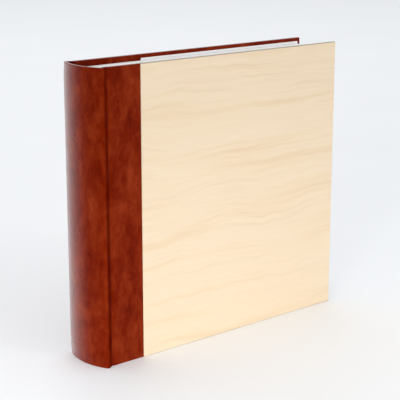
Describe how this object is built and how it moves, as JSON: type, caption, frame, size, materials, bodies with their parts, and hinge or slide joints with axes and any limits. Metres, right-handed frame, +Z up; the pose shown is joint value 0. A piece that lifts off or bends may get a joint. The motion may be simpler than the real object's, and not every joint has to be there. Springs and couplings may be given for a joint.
{
  "type": "wedding guest book",
  "caption": "Square guest book that stands upright: leather rounded spine and back cover, wooden front panel, and card leaves that fan as the covers open.",
  "frame": {"origin": "centre of the closed book's footprint, on the surface that it stands on", "axes": "+Z up along the spine, -Y out of the front cover, -X towards the spine, +X towards the fore edge"},
  "size_m": [0.3416, 0.0664, 0.313],
  "materials": {
    "leather": "glazed, mottled red-brown calf",
    "wood_panel": "satin pale maple veneer",
    "board": "plain grey board",
    "guard_card": "dark red card",
    "endpaper": "uncoated",
    "tube_paper": "brown kraft",
    "leaf_card": "uncoated white card",
    "linen": "unbleached linen",
    "thread": "waxed linen thread",
    "headband_silk": "red silk with cream stripes"
  },
  "bodies": {
    "spine": {"spine_leather": "leather", "spine_lining": "board", "hollow_tube": "tube_paper", "mull_cloth": "linen", "sewing_tapes": "linen", "sewing_thread": "thread", "spine_guards": "guard_card", "headband": "headband_silk", "tailband": "headband_silk", "leaves_07": "leaf_card", "leaf_linen_07": "linen"},
    "front_cover": {"front_board": "board", "front_wood_panel": "wood_panel", "front_leather": "leather", "front_infill": "board", "front_inner_joint": "leather", "front_pastedown": "endpaper"},
    "back_cover": {"back_board": "board", "back_leather": "leather", "back_infill": "board", "back_inner_joint": "leather", "back_pastedown": "endpaper"},
    "front_flyleaf": {"front_flyleaf": "endpaper"},
    "back_flyleaf": {"back_flyleaf": "endpaper"},
    "leaf_group_01": {"leaves_01": "leaf_card", "leaf_linen_01": "linen"},
    "leaf_group_02": {"leaves_02": "leaf_card", "leaf_linen_02": "linen"},
    "leaf_group_03": {"leaves_03": "leaf_card", "leaf_linen_03": "linen"},
    "leaf_group_04": {"leaves_04": "leaf_card", "leaf_linen_04": "linen"},
    "leaf_group_05": {"leaves_05": "leaf_card", "leaf_linen_05": "linen"},
    "leaf_group_06": {"leaves_06": "leaf_card", "leaf_linen_06": "linen"},
    "leaf_group_08": {"leaves_08": "leaf_card", "leaf_linen_08": "linen"},
    "leaf_group_09": {"leaves_09": "leaf_card", "leaf_linen_09": "linen"},
    "leaf_group_10": {"leaves_10": "leaf_card", "leaf_linen_10": "linen"},
    "leaf_group_11": {"leaves_11": "leaf_card", "leaf_linen_11": "linen"},
    "leaf_group_12": {"leaves_12": "leaf_card", "leaf_linen_12": "linen"},
    "leaf_group_13": {"leaves_13": "leaf_card", "leaf_linen_13": "linen"}
  },
  "joints": [
    {"name": "front_cover_hinge", "type": "hinge", "parent": "spine", "child": "front_cover", "pos_m": [-0.15575, -0.03325, 0], "axis": [0, 0, -1], "range_deg": [0, 175]},
    {"name": "back_cover_hinge", "type": "hinge", "parent": "spine", "child": "back_cover", "pos_m": [-0.15575, 0.03325, 0], "axis": [0, 0, 1], "range_deg": [0, 175]},
    {"name": "front_flyleaf_turn", "type": "hinge", "parent": "spine", "child": "front_flyleaf", "pos_m": [-0.14735, -0.02548, 0], "axis": [0, 0, -1], "range_deg": [0, 92]},
    {"name": "back_flyleaf_turn", "type": "hinge", "parent": "spine", "child": "back_flyleaf", "pos_m": [-0.14735, 0.02577, 0], "axis": [0, 0, 1], "range_deg": [0, 92]},
    {"name": "leaf_turn_01", "type": "hinge", "parent": "spine", "child": "leaf_group_01", "pos_m": [-0.14675, -0.02325, 0], "axis": [0, 0, -1], "range_deg": [0, 81]},
    {"name": "leaf_turn_02", "type": "hinge", "parent": "spine", "child": "leaf_group_02", "pos_m": [-0.14675, -0.01935, 0], "axis": [0, 0, -1], "range_deg": [0, 67.5]},
    {"name": "leaf_turn_03", "type": "hinge", "parent": "spine", "child": "leaf_group_03", "pos_m": [-0.14675, -0.01545, 0], "axis": [0, 0, -1], "range_deg": [0, 54]},
    {"name": "leaf_turn_04", "type": "hinge", "parent": "spine", "child": "leaf_group_04", "pos_m": [-0.14675, -0.01155, 0], "axis": [0, 0, -1], "range_deg": [0, 40.5]},
    {"name": "leaf_turn_05", "type": "hinge", "parent": "spine", "child": "leaf_group_05", "pos_m": [-0.14675, -0.00765, 0], "axis": [0, 0, -1], "range_deg": [0, 27]},
    {"name": "leaf_turn_06", "type": "hinge", "parent": "spine", "child": "leaf_group_06", "pos_m": [-0.14675, -0.00375, 0], "axis": [0, 0, -1], "range_deg": [0, 13.5]},
    {"name": "leaf_turn_08", "type": "hinge", "parent": "spine", "child": "leaf_group_08", "pos_m": [-0.14675, 0.00405, 0], "axis": [0, 0, 1], "range_deg": [0, 13.5]},
    {"name": "leaf_turn_09", "type": "hinge", "parent": "spine", "child": "leaf_group_09", "pos_m": [-0.14675, 0.00795, 0], "axis": [0, 0, 1], "range_deg": [0, 27]},
    {"name": "leaf_turn_10", "type": "hinge", "parent": "spine", "child": "leaf_group_10", "pos_m": [-0.14675, 0.01185, 0], "axis": [0, 0, 1], "range_deg": [0, 40.5]},
    {"name": "leaf_turn_11", "type": "hinge", "parent": "spine", "child": "leaf_group_11", "pos_m": [-0.14675, 0.01575, 0], "axis": [0, 0, 1], "range_deg": [0, 54]},
    {"name": "leaf_turn_12", "type": "hinge", "parent": "spine", "child": "leaf_group_12", "pos_m": [-0.14675, 0.01965, 0], "axis": [0, 0, 1], "range_deg": [0, 67.5]},
    {"name": "leaf_turn_13", "type": "hinge", "parent": "spine", "child": "leaf_group_13", "pos_m": [-0.14675, 0.02355, 0], "axis": [0, 0, 1], "range_deg": [0, 81]}
  ],
  "couplings": [
    {"joint": "front_flyleaf_turn", "follows": "front_cover_hinge", "ratio": 0.52571},
    {"joint": "back_flyleaf_turn", "follows": "back_cover_hinge", "ratio": 0.52571},
    {"joint": "leaf_turn_01", "follows": "front_cover_hinge", "ratio": 0.46285},
    {"joint": "leaf_turn_02", "follows": "front_cover_hinge", "ratio": 0.38571},
    {"joint": "leaf_turn_03", "follows": "front_cover_hinge", "ratio": 0.30857},
    {"joint": "leaf_turn_04", "follows": "front_cover_hinge", "ratio": 0.23142},
    {"joint": "leaf_turn_05", "follows": "front_cover_hinge", "ratio": 0.15428},
    {"joint": "leaf_turn_06", "follows": "front_cover_hinge", "ratio": 0.07714},
    {"joint": "leaf_turn_08", "follows": "back_cover_hinge", "ratio": 0.07714},
    {"joint": "leaf_turn_09", "follows": "back_cover_hinge", "ratio": 0.15428},
    {"joint": "leaf_turn_10", "follows": "back_cover_hinge", "ratio": 0.23142},
    {"joint": "leaf_turn_11", "follows": "back_cover_hinge", "ratio": 0.30857},
    {"joint": "leaf_turn_12", "follows": "back_cover_hinge", "ratio": 0.38571},
    {"joint": "leaf_turn_13", "follows": "back_cover_hinge", "ratio": 0.46285}
  ]
}
